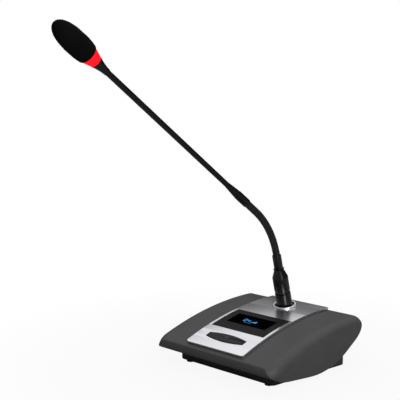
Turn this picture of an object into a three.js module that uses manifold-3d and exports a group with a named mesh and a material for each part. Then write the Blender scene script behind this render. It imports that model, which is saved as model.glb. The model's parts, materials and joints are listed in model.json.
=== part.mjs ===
// Gooseneck podium microphone: an arched desk base with a display and a talk button, a plug-in
// gooseneck stem, a light ring and a foam windscreen.
// Millimetres, +Z up, +X to the speaker's right hand side, -Y towards the speaker.
import * as THREE from 'three';
import { mergeVertices } from 'three/addons/utils/BufferGeometryUtils.js';
import Module from 'manifold-3d';

const wasm = await Module();
wasm.setup();

// ---------------------------------------------------------------- driving dimensions
const base_width = 180;            // cheek to cheek
const base_depth = 172;            // nose to back
const half_width = base_width / 2;
const half_depth = base_depth / 2;
const wall = 2.5;                  // moulded walls of the cover
const gap = 0.3;                   // clearance between pieces that touch
const arch_radius = 458.6;         // the roof is one long arc, seen from the side
const arch_top = 55.7;             // height of the roof's highest line
const arch_top_y = half_depth - 20; // where that line lies, towards the back
const shoulder_radius = 11;        // roof into cheek
const nose_height = 26;            // the nose's foremost line
const nose_lip = 8;                // from the foremost line down to the start of the belly
const belly_height = 5.8;          // lowest line of the cover
const corner_length = 16;          // the cheeks draw in towards the nose over this length
const corner_inset = 6.5;          // and by this much
const back_height = 43;            // the back's rearmost line

const pan_front_y = -half_depth + 25.5; // black pan under the cover, wider at the back
const pan_back_y = half_depth - 31;
const pan_front_half = half_width - 19;
const pan_back_half = half_width - 4;
const pan_wall = 2;
const pan_top = 26;                // its walls reach up inside the cover
const foot_height = 2;             // rubber left below the pan
const foot_radius = 5;
const foot_recess = 0.8;
const foot_front_x = pan_front_half - 11;
const foot_back_x = pan_back_half - 16;
const foot_inset = 6.3;            // from the pan's front or back face

const plate_half = 43.2;           // silver plate on the roof
const plate_front_y = -half_depth + 5.9;
const plate_back_y = half_depth - 3.6;
const plate_rise = 3.2;            // its top above the roof
const plate_corner = 3.5;
const button_y = plate_front_y + 21.3; // lens-shaped talk button
const button_half = 27.6;
const button_end = 3.7;            // half its height at the cut-off ends
const button_mid = 7.7;            // half its height in the middle
const button_proud = 0.8;
const button_travel = 1;

const plug_lean = 15.1;            // degrees the stem's plug leans towards the speaker
const plug_y = half_depth - 35.4;  // lower end of the lock ring, on the plug's axis
const plug_rise = 6.46;            // and how far that is above the roof
const ring_lean = 9;               // degrees the chrome ring leans
const lock_ring_length = 15.4;
const neck_radius = 8.25;          // plug tube, seen between lock ring and barrel
const lock_ring_radius = neck_radius + 1.45;
const socket_radius = neck_radius + 2.95;
const ring_bore = socket_radius + 1.2;
const ring_radius = ring_bore + 1.6;
const neck_length = 3;
const barrel_radius = neck_radius + 1.4;
const barrel_length = 18.1;
const cone_length = 11;
const flexible_radius = 4.4;        // the gooseneck, held by the collar and the sleeve
const collar_wall = 0.8;
const collar_radius = flexible_radius + gap + collar_wall;
const collar_length = 18;
const plug_depth = 20;             // how far the tube goes into the socket
const tube_wall = 1.5;
const pin_radius = 1;
const pin_ring = 3.6;              // the three pins' centres

const display_half = plate_half - 3.8; // black bezel let into the plate
const display_length = 49.2;
const display_place = 0.294;       // share of the room between button and ring left in front of it
const display_room = plug_y - ring_radius - (button_y + button_mid) - display_length;
const display_front_y = button_y + button_mid + display_place * display_room;
const display_back_y = display_front_y + display_length;
const screen_half = display_half - 10.2; // clear window in the bezel
const screen_front_y = display_front_y + 15.4;
const screen_back_y = display_back_y - 10;

const neck_bend_start = plug_lean; // degrees from upright, where the gooseneck leaves the collar
const neck_bend_end = 54.6;        // and where it has straightened out
const bend_length = 71.5;
const flexible_length = 92.8;      // collar to coupling sleeve
const hinge_count = 9;             // hinges spread along the flexible length
const link_cone = 10;              // degrees that each link's end faces fall away
const sleeve_wall = 0.4;
const sleeve_radius = flexible_radius + gap + sleeve_wall;
const sleeve_full = 17.4;
const sleeve_taper = 23;
const sleeve_seat = 13;            // the gooseneck's length inside the sleeve
const tube_radius = 3.1;
const tube_bore = 2.2;
const stem_length = 365.7;         // collar to the lower edge of the light ring
const flare_length = 17;
const flare_radius = 6.6;
const led_length = 11;
const led_radius = 9.4;            // at its upper edge
const spigot_radius = 4.2;         // housing's nose inside the light ring
const foam_length = 47.6;
const foam_radius = 11.95;
const foam_widest = 0.34;          // share of its length where it is widest
const basket_radius = 7.2;
const basket_length = 40;
const capsule_radius = 4.9;

// ---------------------------------------------------------------- materials
function finish(color, roughness, metalness = 0) {
  return new THREE.MeshStandardMaterial({ color, roughness, metalness });
}
const charcoal = finish('#484848', 0.55);
const black_plastic = finish('#1c1c1c', 0.5);
const rubber = finish('#111111', 0.9);
const silver = finish('#b9b9bd', 0.35, 0.9);
const bezel_black = finish('#262626', 0.35);
const glass_black = finish('#050608', 0.08);
const chrome = finish('#d8d8da', 0.12, 1);
const black_metal = finish('#1f1f20', 0.38, 0.6);
const steel = finish('#8c8c8c', 0.4, 0.9);
const brass = finish('#c9a44c', 0.3, 1);
const board_green = finish('#1d5a36', 0.6);
const light_red = finish('#ff1419', 0.4);
const foam_black = finish('#0c0c0c', 1);

// ---------------------------------------------------------------- solids
// A closed geometry as a solid for joining and cutting: vertices merged, empty triangles dropped.
function toSolid(geometry) {
  const bare = geometry.clone();
  for (const name of Object.keys(bare.attributes)) {
    if (name !== 'position') bare.deleteAttribute(name);
  }
  const merged = mergeVertices(bare, 1e-4);
  const corners = merged.index.array;
  const kept = [];
  for (let i = 0; i < corners.length; i += 3) {
    const [a, b, c] = [corners[i], corners[i + 1], corners[i + 2]];
    if (a !== b && b !== c && a !== c) kept.push(a, b, c);
  }
  const vertProperties = new Float32Array(merged.attributes.position.array);
  const mesh = new wasm.Mesh({ numProp: 3, vertProperties, triVerts: new Uint32Array(kept) });
  return new wasm.Manifold(mesh);
}

function toGeometry(solid) {
  const mesh = solid.getMesh();
  const geometry = new THREE.BufferGeometry();
  geometry.setAttribute('position', new THREE.BufferAttribute(new Float32Array(mesh.vertProperties), 3));
  geometry.setIndex(new THREE.BufferAttribute(new Uint32Array(mesh.triVerts), 1));
  return geometry;
}

function join(...parts) {
  return toGeometry(parts.map(toSolid).reduce((whole, part) => whole.add(part)));
}

function cut(body, ...tools) {
  return toGeometry(tools.map(toSolid).reduce((rest, tool) => rest.subtract(tool), toSolid(body)));
}

function common(...parts) {
  return toGeometry(parts.map(toSolid).reduce((whole, part) => whole.intersect(part)));
}

// Turned piece about +Z: [radius, height] pairs, counter-clockwise in that half plane.
function turned(profile, segments = 20) {
  const points = profile.map(([r, z]) => new THREE.Vector2(r, z));
  return new THREE.LatheGeometry(points, segments).rotateX(Math.PI / 2);
}

function rod(radius, low, high, segments = 14) {
  return turned([[0, low], [radius, low], [radius, high], [0, high]], segments);
}

function pipe(outer, inner, low, high, segments = 20) {
  return turned([[inner, low], [outer, low], [outer, high], [inner, high], [inner, low]], segments);
}

function block(x0, x1, y0, y1, z0, z1) {
  return new THREE.BoxGeometry(x1 - x0, y1 - y0, z1 - z0)
    .translate((x0 + x1) / 2, (y0 + y1) / 2, (z0 + z1) / 2);
}

function prism(shape, low, high) {
  const options = { depth: high - low, bevelEnabled: false, curveSegments: 6 };
  return new THREE.ExtrudeGeometry(shape, options).translate(0, 0, low);
}

// ---------------------------------------------------------------- the arch
const arch_centre_z = arch_top - arch_radius;

function archHeight(y, rise = 0) {
  return arch_centre_z + Math.sqrt((arch_radius + rise) ** 2 - (y - arch_top_y) ** 2);
}

// Angle round the arch's centre, from upright, of the place y on the silver plate's top face.
function archTurn(y) {
  return Math.asin((y - arch_top_y) / (arch_radius + plate_rise));
}

// Frame on the silver plate's top face: local +Z is the surface's normal, local +X is +X.
function archFrame(y) {
  return new THREE.Matrix4().makeRotationX(-archTurn(y)).setPosition(0, y, archHeight(y, plate_rise));
}

// The circle that the roof follows, at a rise above it: y0 and y1 are places on the plate's top
// face, so pieces of any rise that share a y end on the same plane.
class ArchPath extends THREE.Curve {
  constructor(y0, y1, rise) {
    super();
    this.radius = arch_radius + rise;
    this.start = archTurn(y0);
    this.end = archTurn(y1);
  }

  getPoint(t, target = new THREE.Vector3()) {
    const turn = this.start + (this.end - this.start) * t;
    const y = arch_top_y + this.radius * Math.sin(turn);
    return target.set(0, y, arch_centre_z + this.radius * Math.cos(turn));
  }
}

// Sweep a section, drawn with its top at height 0, along the arch.
function swept(section, y0, y1, rise, steps) {
  const extrudePath = new ArchPath(y0, y1, rise);
  return new THREE.ExtrudeGeometry(section, { extrudePath, steps, bevelEnabled: false, curveSegments: 4 });
}

function archPlate(y0, y1, half, rise, thickness, steps = 12) {
  const section = new THREE.Shape();
  section.moveTo(-half, -thickness);
  section.lineTo(half, -thickness);
  section.lineTo(half, 0);
  section.lineTo(-half, 0);
  section.closePath();
  return swept(section, y0, y1, rise, steps);
}

// ---------------------------------------------------------------- cover
const crease_y = -half_depth + 1.7;
const roof_back_y = half_depth - 2.6;
const open_above = arch_top + 30;

// Outline from the side, [y, z]: nose, belly and back, left open above the arch.
function sideOutline(inset) {
  const low_nose = nose_height - nose_lip;
  const curve = new THREE.SplineCurve([
    [crease_y, archHeight(crease_y)],
    [-half_depth, nose_height],
    [-half_depth + 1.7, nose_height - 0.58 * nose_lip],
    [-half_depth + 7, low_nose],
    [-0.76 * half_depth, 0.45 * low_nose + 0.55 * belly_height + 1.3],
    [-0.47 * half_depth, belly_height + 3.3],
    [-0.12 * half_depth, belly_height],
    [0.105 * half_depth, belly_height + 0.1],
    [0.355 * half_depth, belly_height + 3.4],
    [0.54 * half_depth, belly_height + 9.1],
    [0.72 * half_depth, belly_height + 17],
    [half_depth - 11, back_height - 12.8],
    [half_depth - 3.6, back_height - 6.8],
    [half_depth, back_height],
    [half_depth - 0.6, back_height + 7],
    [roof_back_y, archHeight(roof_back_y) + 0.3],
  ].map(([y, z]) => new THREE.Vector2(y, z)));
  const points = curve.getPoints(36);
  points.unshift(new THREE.Vector2(crease_y, open_above));
  points.push(new THREE.Vector2(roof_back_y, open_above));
  return points.map((point, i) => {
    const before = points[(i + points.length - 1) % points.length];
    const after = points[(i + 1) % points.length];
    const along = after.clone().sub(before).normalize();
    return new THREE.Vector2(point.x - along.y * inset, point.y + along.x * inset);
  });
}

// Outline from above: straight cheeks that draw in towards the nose.
function planShape(half) {
  const corner_y = -half_depth + corner_length;
  const shape = new THREE.Shape();
  shape.moveTo(half, half_depth + 5);
  shape.lineTo(-half, half_depth + 5);
  shape.lineTo(-half, corner_y);
  shape.quadraticCurveTo(-half, corner_y - corner_length / 2, -half + corner_inset, -half_depth);
  shape.lineTo(-half + 2 * corner_inset, -half_depth - corner_length / 2);
  shape.lineTo(half - 2 * corner_inset, -half_depth - corner_length / 2);
  shape.lineTo(half - corner_inset, -half_depth);
  shape.quadraticCurveTo(half, corner_y - corner_length / 2, half, corner_y);
  shape.closePath();
  return shape;
}

// The outer body, or the hollow inside it: outline across X, met by the arch with round shoulders.
function bodyShape(inset) {
  const half = half_width - inset;
  const radius = shoulder_radius - inset;
  const drop = arch_top + 20;
  const section = new THREE.Shape();
  section.moveTo(-half, -drop);
  section.lineTo(half, -drop);
  section.lineTo(half, -radius);
  section.absarc(half - radius, -radius, radius, 0, Math.PI / 2, false);
  section.lineTo(-half + radius, 0);
  section.absarc(-half + radius, -radius, radius, Math.PI / 2, Math.PI, false);
  section.closePath();
  const arch = swept(section, -half_depth - 12, half_depth + 12, -inset, 18);

  const side = new THREE.Shape(sideOutline(inset));
  const across = prism(side, -half_width - 5, half_width + 5);
  across.applyMatrix4(new THREE.Matrix4().set(0, 0, 1, 0, 1, 0, 0, 0, 0, 1, 0, 0, 0, 0, 0, 1));
  return common(arch, across, prism(planShape(half), -5, open_above));
}

function panShape(outset) {
  const shape = new THREE.Shape();
  const widen = outset * 1.01;
  shape.moveTo(-pan_front_half - widen, pan_front_y - outset);
  shape.lineTo(pan_front_half + widen, pan_front_y - outset);
  shape.lineTo(pan_back_half + widen, pan_back_y + outset);
  shape.lineTo(-pan_back_half - widen, pan_back_y + outset);
  shape.closePath();
  return shape;
}

const plug_z = archHeight(plug_y) + plug_rise;
const plug_frame = new THREE.Matrix4()
  .makeRotationX(THREE.MathUtils.degToRad(plug_lean)).setPosition(0, plug_y, plug_z);
const button_frame = archFrame(button_y);
const display_y = (display_front_y + display_back_y) / 2;
const display_frame = archFrame(display_y);

// Lens with cut-off ends, grown by outset all round.
function lensShape(outset) {
  const half = button_half + outset;
  const end = button_end + outset;
  const sag = button_mid - button_end;
  const radius = (half * half + sag * sag) / (2 * sag);
  const sweep = Math.asin(half / radius);
  const shape = new THREE.Shape();
  shape.moveTo(-half, -end);
  shape.absarc(0, radius - end - sag, radius, -Math.PI / 2 - sweep, -Math.PI / 2 + sweep, false);
  shape.lineTo(half, end);
  shape.absarc(0, end + sag - radius, radius, Math.PI / 2 - sweep, Math.PI / 2 + sweep, false);
  shape.closePath();
  return shape;
}

const screw_radius = 1.1;
const screw_head_radius = 2.4;
const boss_radius = 3.6;
const floor_low = foot_height;
const floor_high = foot_height + pan_wall;
const boss_low = floor_high + 2.2;         // the pan has a raised pad under each boss
const screw_head_high = floor_low + 1.6;
const screw_places = [-1, 1].flatMap((side) => [
  [side * (pan_front_half - 11), pan_front_y + 19],
  [side * (pan_back_half - 17), pan_back_y - 21],
]);
const post_x = button_half + 6;
const post_low = -(plate_rise + 9.6);      // button board's seat, in the button's own frame
const socket_flange = socket_radius + 4.2;
// Flange's seat, along the plug's axis: the wider the leaning flange, the lower it sits.
const socket_face = 2.4 - socket_flange;
const socket_screw_x = socket_radius + 2.1;

function buildCover() {
  const shell = cut(bodyShape(0), bodyShape(wall), prism(panShape(gap + 0.1), -5, pan_top - 4));
  const inside = cut(bodyShape(wall - 0.5), prism(panShape(20), -5, boss_low));
  const bosses = screw_places.map(([x, y]) =>
    common(rod(boss_radius, boss_low, arch_top).translate(x, y, 0), inside));
  const posts = [-1, 1].map((side) =>
    rod(2.6, post_low, -plate_rise - 0.5, 16).translate(side * post_x, 0, 0).applyMatrix4(button_frame));
  const seat = common(rod(socket_flange + 1.5, socket_face, 8, 24).applyMatrix4(plug_frame), inside);
  const holes = [
    ...screw_places.map(([x, y]) => rod(screw_radius + gap, 0, boss_low + 9, 14).translate(x, y, 0)),
    prism(lensShape(2.6), -14, 8).applyMatrix4(button_frame),
    block(-display_half + 4, display_half - 4, -21, 21, -8, 8).applyMatrix4(display_frame),
    rod(socket_radius + gap, socket_face - 20, 12, 24).applyMatrix4(plug_frame),
    ...[-1, 1].map((side) =>
      rod(0.9 + gap, socket_face - 1, socket_face + 5, 12)
        .translate(side * socket_screw_x, 0, 0).applyMatrix4(plug_frame)),
  ];
  return cut(join(shell, ...bosses, ...posts, seat), ...holes);
}

// ---------------------------------------------------------------- pan and feet
const jack_width = 15;
const jack_height = 11.5;
const jack_length = 16;
const jack_low = floor_high + 0.8;
const jack_mouth_width = 11.2;
const jack_mouth_height = 8;
const jack_x = 26;
const jack_back = pan_back_y - pan_wall - gap;
const board_low = floor_high + 8;
const board_half = 50;
const board_front_y = pan_front_y + 12;
const board_back_y = pan_back_y - 24;
const board_pillars = [-1, 1].flatMap((side) =>
  [[side * (board_half - 5), board_front_y + 5], [side * (board_half - 5), board_back_y - 5]]);

const foot_places = {
  foot_front_left: [-foot_front_x, pan_front_y + foot_inset],
  foot_front_right: [foot_front_x, pan_front_y + foot_inset],
  foot_back_left: [-foot_back_x, pan_back_y - foot_inset],
  foot_back_right: [foot_back_x, pan_back_y - foot_inset],
};

function buildPan() {
  const bevel = 1.8;
  const options = {
    depth: pan_top - floor_low - 2 * bevel, bevelThickness: bevel, bevelSize: bevel,
    bevelSegments: 2, curveSegments: 4,
  };
  const tray = cut(
    new THREE.ExtrudeGeometry(panShape(-bevel), options).translate(0, 0, floor_low + bevel),
    prism(panShape(-pan_wall), floor_high, pan_top + 5));
  const pads = screw_places.map(([x, y]) => rod(5.2, floor_low + 0.5, boss_low - gap).translate(x, y, 0));
  const pillars = board_pillars.map(([x, y]) =>
    rod(2.6, floor_low + 0.5, board_low - gap, 14).translate(x, y, 0));
  const holes = [
    ...screw_places.map(([x, y]) => rod(screw_radius + gap, 0, boss_low + 5, 14).translate(x, y, 0)),
    ...screw_places.map(([x, y]) => rod(screw_head_radius + gap, 0, screw_head_high + gap).translate(x, y, 0)),
    ...Object.values(foot_places).map(([x, y]) =>
      rod(foot_radius + gap, 0, floor_low + foot_recess, 20).translate(x, y, 0)),
    ...[-1, 1].map((side) => block(
      side * jack_x - jack_mouth_width / 2, side * jack_x + jack_mouth_width / 2,
      pan_back_y - pan_wall - 1, pan_back_y + 5,
      jack_low + 1.75, jack_low + 1.75 + jack_mouth_height)),
  ];
  return cut(join(tray, ...pads, ...pillars), ...holes);
}

function buildFoot([x, y]) {
  const top = floor_low + foot_recess - gap;
  return turned([[0, 0], [foot_radius - 0.8, 0], [foot_radius, 0.8], [foot_radius, top], [0, top]], 20)
    .translate(x, y, 0);
}

function buildScrew([x, y]) {
  const head_low = floor_low + 0.3;
  return turned([
    [0, head_low], [screw_head_radius, head_low], [screw_head_radius, screw_head_high],
    [screw_radius, screw_head_high], [screw_radius, boss_low + 8], [0, boss_low + 8],
  ], 16).translate(x, y, 0);
}

function buildJack(side) {
  const x = side * jack_x;
  const body = block(x - jack_width / 2, x + jack_width / 2,
    jack_back - jack_length, jack_back, jack_low, jack_low + jack_height);
  const mouth = block(x - jack_mouth_width / 2, x + jack_mouth_width / 2,
    jack_back - 12, jack_back + 1, jack_low + 1.75, jack_low + 1.75 + jack_mouth_height);
  return cut(body, mouth);
}

function buildMainBoard() {
  const high = board_low + 1.6;
  const chips = [
    [-30, board_front_y + 18, 14, 14, 1.8], [8, board_front_y + 22, 18, 18, 2.2],
    [34, board_back_y - 31, 10, 8, 3], [-20, board_back_y - 25, 24, 7, 6],
  ];
  return join(
    block(-board_half, board_half, board_front_y, board_back_y, board_low, high),
    ...chips.map(([x, y, w, d, h]) => block(x - w / 2, x + w / 2, y - d / 2, y + d / 2, high - 0.5, high + h)));
}

// ---------------------------------------------------------------- plate, display and button
function buildPlate() {
  const outline = new THREE.Shape();
  outline.moveTo(-plate_half, plate_back_y + 5);
  outline.lineTo(-plate_half, plate_front_y + plate_corner);
  outline.absarc(-plate_half + plate_corner, plate_front_y + plate_corner, plate_corner,
    Math.PI, 1.5 * Math.PI, false);
  outline.lineTo(plate_half - plate_corner, plate_front_y);
  outline.absarc(plate_half - plate_corner, plate_front_y + plate_corner, plate_corner,
    1.5 * Math.PI, 2 * Math.PI, false);
  outline.lineTo(plate_half, plate_back_y + 5);
  outline.closePath();
  const strip = archPlate(plate_front_y - 4, plate_back_y, plate_half + 2, plate_rise,
    plate_rise - gap, 18);
  return cut(
    common(strip, prism(outline, 0, arch_top + 20)),
    archPlate(display_front_y - gap, display_back_y + gap, display_half + gap, plate_rise + 5, 15),
    prism(lensShape(0.4), -10, 10).applyMatrix4(button_frame),
    rod(ring_radius + gap, -20, 20, 24).applyMatrix4(ring_frame));
}

function buildBezel() {
  return cut(
    archPlate(display_front_y, display_back_y, display_half, plate_rise, plate_rise - gap),
    archPlate(screen_front_y - gap, screen_back_y + gap, screen_half + gap, plate_rise + 5, 15));
}

function buildWindow() {
  return archPlate(screen_front_y, screen_back_y, screen_half, plate_rise - 0.3, 1.4);
}

function buildDisplayModule() {
  return block(-display_half + 6, display_half - 6, -18, 18, -10.5, -4.2).applyMatrix4(display_frame);
}

function buildButton() {
  const flange_top = -(plate_rise + gap);
  const cap = prism(lensShape(0), flange_top - 1.6, button_proud - 0.4);
  const crown = prism(lensShape(-0.5), 0, button_proud);
  const flange = prism(lensShape(1.6), flange_top - 1.6, flange_top);
  const stem = block(-4, 4, -2.5, 2.5, flange_top - 4.2, flange_top - 1);
  return join(cap, crown, flange, stem).applyMatrix4(button_frame);
}

const switch_top = -(plate_rise + gap) - 4.2 - button_travel - gap;

function buildSwitch() {
  return block(-3, 3, -3, 3, post_low + gap, switch_top).applyMatrix4(button_frame);
}

function buildButtonBoard() {
  return block(-post_x - 4, post_x + 4, -7, 7, post_low - gap - 1.4, post_low - gap)
    .applyMatrix4(button_frame);
}

// ---------------------------------------------------------------- socket and plug
const ring_frame = new THREE.Matrix4()
  .makeRotationX(THREE.MathUtils.degToRad(ring_lean)).setPosition(0, plug_y + 0.1, plug_z - 0.5);

function buildTrimRing() {
  const under = archPlate(-half_depth, half_depth, half_width, gap, arch_top, 18);
  const ring = turned([
    [ring_bore, -14], [ring_radius, -14], [ring_radius, -0.7], [ring_radius - 0.7, 0],
    [ring_bore + 0.5, 0], [ring_bore, -0.5], [ring_bore, -14],
  ], 24).applyMatrix4(ring_frame);
  return cut(ring, under);
}

const socket_top = -4;
const socket_bottom = -28;
const core_top = -8;
const groove_bottom = -plug_depth - 4;

function pinPlaces(rotation = 0) {
  return [0, 1, 2].map((i) => {
    const turn = rotation + (i * 2 * Math.PI) / 3 - Math.PI / 2;
    return [pin_ring * Math.cos(turn), pin_ring * Math.sin(turn)];
  });
}

function buildSocket() {
  const cup = turned([
    [0, socket_bottom], [socket_radius, socket_bottom], [socket_radius, socket_face - 2 - gap],
    [socket_flange, socket_face - 2 - gap], [socket_flange, socket_face - gap],
    [socket_radius, socket_face - gap], [socket_radius, socket_top],
    [neck_radius + gap, socket_top], [neck_radius + gap, groove_bottom], [0, groove_bottom],
  ], 24);
  const screw_holes = [-1, 1].map((side) =>
    rod(0.9 + gap, socket_face - 5, socket_face + 2, 12).translate(side * socket_screw_x, 0, 0));
  return cut(cup, ...screw_holes).applyMatrix4(plug_frame);
}

function buildSocketCore() {
  const core = rod(neck_radius - tube_wall - gap, groove_bottom + gap, core_top, 24);
  const holes = pinPlaces().map(([x, y]) =>
    rod(pin_radius + 0.6, groove_bottom - 1, core_top + 1, 12).translate(x, y, 0));
  return cut(core, ...holes).applyMatrix4(plug_frame);
}

function buildSocketScrew(side) {
  return turned([
    [0, socket_face - 4.4], [1.7, socket_face - 4.4], [1.7, socket_face - 2 - 2 * gap],
    [0.9, socket_face - 2 - 2 * gap], [0.9, socket_face + 4], [0, socket_face + 4],
  ], 12).translate(side * socket_screw_x, 0, 0).applyMatrix4(plug_frame);
}

function buildContact([x, y]) {
  return pipe(pin_radius + 0.3, pin_radius * 0.5, groove_bottom + gap, groove_bottom + 5, 10)
    .translate(x, y, 0).applyMatrix4(plug_frame);
}

const neck_top = lock_ring_length + neck_length;
const barrel_top = neck_top + barrel_length;
const cone_top = barrel_top + cone_length;
const collar_top = cone_top + collar_length;

function buildLockRing() {
  const bore = neck_radius + gap;
  return turned([
    [bore, 0], [lock_ring_radius - 0.6, 0], [lock_ring_radius, 0.6],
    [lock_ring_radius, lock_ring_length - 1], [lock_ring_radius - 1, lock_ring_length],
    [bore, lock_ring_length], [bore, 0],
  ], 24).applyMatrix4(plug_frame);
}

function buildPlugShell() {
  const bore = neck_radius - tube_wall;
  const wire_bore = 2.2;
  return turned([
    [bore, -plug_depth], [neck_radius, -plug_depth], [neck_radius, neck_top],
    [barrel_radius - 1, neck_top], [barrel_radius, neck_top + 1], [barrel_radius, barrel_top],
    [collar_radius, cone_top - gap], [wire_bore, cone_top - gap], [wire_bore, neck_top],
    [bore, neck_top - 2], [bore, -plug_depth],
  ], 24).applyMatrix4(plug_frame);
}

function buildInsert() {
  const disc = rod(neck_radius - tube_wall - gap, 2, 10, 24);
  const holes = pinPlaces().map(([x, y]) => rod(pin_radius + gap, 1, 11, 12).translate(x, y, 0));
  return cut(disc, ...holes).applyMatrix4(plug_frame);
}

function buildPin([x, y]) {
  return rod(pin_radius, groove_bottom + 6, 13, 10).translate(x, y, 0).applyMatrix4(plug_frame);
}

function buildCollar() {
  const bore = flexible_radius + gap;
  const seat = cone_top + 1.5;
  return turned([
    [2.2, cone_top], [collar_radius, cone_top], [collar_radius, collar_top - 1.2],
    [collar_radius - 0.6, collar_top], [bore, collar_top], [bore, seat], [2.2, seat],
    [2.2, cone_top],
  ], 24).applyMatrix4(plug_frame);
}

// ---------------------------------------------------------------- stem
// Place and lean along the stem, s millimetres from the collar's end: an arc, then straight.
const bend_angle = THREE.MathUtils.degToRad(neck_bend_end - neck_bend_start);
const bend_radius = bend_length / bend_angle;
const stem_start = new THREE.Vector3(0, 0, collar_top).applyMatrix4(plug_frame);

function stemPoint(s) {
  const first = THREE.MathUtils.degToRad(neck_bend_start);
  const turn = first + Math.min(Math.max(s / bend_length, 0), 1) * bend_angle;
  const straight = s < 0 ? s : Math.max(s - bend_length, 0);
  const y = stem_start.y - bend_radius * (Math.cos(first) - Math.cos(turn)) - straight * Math.sin(turn);
  const z = stem_start.z + bend_radius * (Math.sin(turn) - Math.sin(first)) + straight * Math.cos(turn);
  return { y, z, turn };
}

function stemFrame(s) {
  const { y, z, turn } = stemPoint(s);
  return new THREE.Matrix4().makeRotationX(turn).setPosition(0, y, z);
}

// A link between two places on the stem: its end faces fall away so that it can tilt.
function buildLink(from, to) {
  const a = stemPoint(from);
  const b = stemPoint(to);
  const length = Math.hypot(b.y - a.y, b.z - a.z);
  const fall = flexible_radius * Math.tan(THREE.MathUtils.degToRad(link_cone));
  const half = length / 2 - gap / 2;
  const frame = new THREE.Matrix4().makeRotationX(Math.atan2(a.y - b.y, b.z - a.z))
    .setPosition(0, (a.y + b.y) / 2, (a.z + b.z) / 2);
  return turned([
    [0, -half], [flexible_radius, -half + fall], [flexible_radius, half - fall], [0, half],
  ], 16).applyMatrix4(frame);
}

const hinge_pitch = flexible_length / hinge_count;
const hinge_places = Array.from({ length: hinge_count }, (_, i) => (i + 0.5) * hinge_pitch);

function buildRoot() {
  const fall = flexible_radius * Math.tan(THREE.MathUtils.degToRad(link_cone));
  const top = collar_top + hinge_places[0] - gap / 2;
  return turned([
    [0, cone_top + 2], [flexible_radius, cone_top + 2], [flexible_radius, top - fall], [0, top],
  ], 16).applyMatrix4(plug_frame);
}

function buildTip() {
  const fall = flexible_radius * Math.tan(THREE.MathUtils.degToRad(link_cone));
  const low = hinge_places[hinge_count - 1] + gap / 2 - flexible_length;
  return turned([
    [0, low], [flexible_radius, low + fall], [flexible_radius, sleeve_seat - gap],
    [0, sleeve_seat - gap],
  ], 16).applyMatrix4(sleeve_frame);
}

const sleeve_frame = stemFrame(flexible_length);
const sleeve_length = sleeve_full + sleeve_taper;

function buildSleeve() {
  const bore = flexible_radius + gap;
  const tube_seat = tube_radius + gap;
  return turned([
    [bore, 0], [sleeve_radius, 0], [sleeve_radius, sleeve_full],
    [0.45 * sleeve_radius + 0.55 * tube_seat, sleeve_full + 0.55 * sleeve_taper],
    [tube_seat + 0.25, sleeve_length], [tube_seat, sleeve_length], [tube_seat, sleeve_seat + 1],
    [bore, sleeve_seat + 1], [bore, 0],
  ], 24).applyMatrix4(sleeve_frame);
}

const head_frame = stemFrame(stem_length);       // at the light ring's lower edge, +Z to the tip
const tube_start = sleeve_seat + 1.5;
const tube_end = stem_length - flexible_length - 4;

function buildTube() {
  return pipe(tube_radius, tube_bore, tube_start, tube_end, 20).applyMatrix4(sleeve_frame);
}

function buildHousing() {
  const bore = tube_radius + gap;
  const profile = [[bore, -flare_length]];
  for (let i = 0; i <= 5; i += 1) {
    const t = i / 5;
    profile.push([bore + 0.35 + (flare_radius - bore - 0.35) * t ** 1.6, -flare_length * (1 - t)]);
  }
  profile.push([spigot_radius, 0], [spigot_radius, led_length + 3], [1.6, led_length + 3],
    [1.6, -3], [bore, -3.5], [bore, -flare_length]);
  return turned(profile, 20).applyMatrix4(head_frame);
}

function buildLightRing() {
  const bore = spigot_radius + gap;
  return turned([
    [bore, gap], [flare_radius, gap], [led_radius, led_length], [bore + 1.8, led_length],
    [bore + 1.8, led_length - 3.4], [bore, led_length - 3.4], [bore, gap],
  ], 24).applyMatrix4(head_frame);
}

function buildLightBoard() {
  const bore = spigot_radius + gap;
  return pipe(bore + 1.5, bore, led_length - 3, led_length - 1.6, 20).applyMatrix4(head_frame);
}

// Half ellipse from the rim at [radius, low] to the tip at [0, high].
function dome(radius, low, high, steps) {
  const points = [];
  for (let i = 0; i <= steps; i += 1) {
    const turn = (i / steps) * Math.PI / 2;
    points.push([i === steps ? 0 : radius * Math.cos(turn), low + (high - low) * Math.sin(turn)]);
  }
  return points;
}

const head_low = led_length + gap;

function buildBasket() {
  const outer = dome(basket_radius, basket_length - 7, basket_length, 5);
  const inner = dome(basket_radius - 0.8, basket_length - 7, basket_length - 0.8, 5).reverse();
  return turned([
    [basket_radius - 0.8, head_low], [basket_radius, head_low], ...outer, ...inner,
    [basket_radius - 0.8, head_low],
  ], 24).applyMatrix4(head_frame);
}

function buildCapsule() {
  return rod(capsule_radius, basket_length - 16, basket_length - 9, 24).applyMatrix4(head_frame);
}

// Foam: a quick rise from just outside the light ring's edge, then a blunt rounded end; inside
// is a pocket for the basket.
function foamRadius(t) {
  const start = (led_radius + 0.9) / foam_radius;
  const rise = 1 - (1 - start) * (1 - Math.min(t / foam_widest, 1)) ** 3;
  const past = Math.max((t - foam_widest) / (1 - foam_widest), 0);
  return foam_radius * (t < foam_widest ? rise : Math.sqrt(Math.max(1 - past ** 2.6, 0)));
}

function buildWindscreen() {
  const profile = [];
  const steps = 13;
  for (let i = 0; i <= steps; i += 1) {
    const t = 1 - (1 - i / steps) ** 1.35;
    profile.push([i === steps ? 0 : foamRadius(t), head_low + foam_length * t]);
  }
  const pocket = basket_radius + gap;
  const inner = dome(pocket, basket_length - 6.5, basket_length + gap + 0.5, 5).reverse();
  return turned([[pocket, head_low], ...profile, ...inner, [pocket, head_low]], 24)
    .applyMatrix4(head_frame);
}

// ---------------------------------------------------------------- assembly
const microphone = new THREE.Group();
microphone.name = 'gooseneck_podium_microphone';

function add(name, geometry, material) {
  const mesh = new THREE.Mesh(geometry, material);
  mesh.name = name;
  microphone.add(mesh);
}

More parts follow.
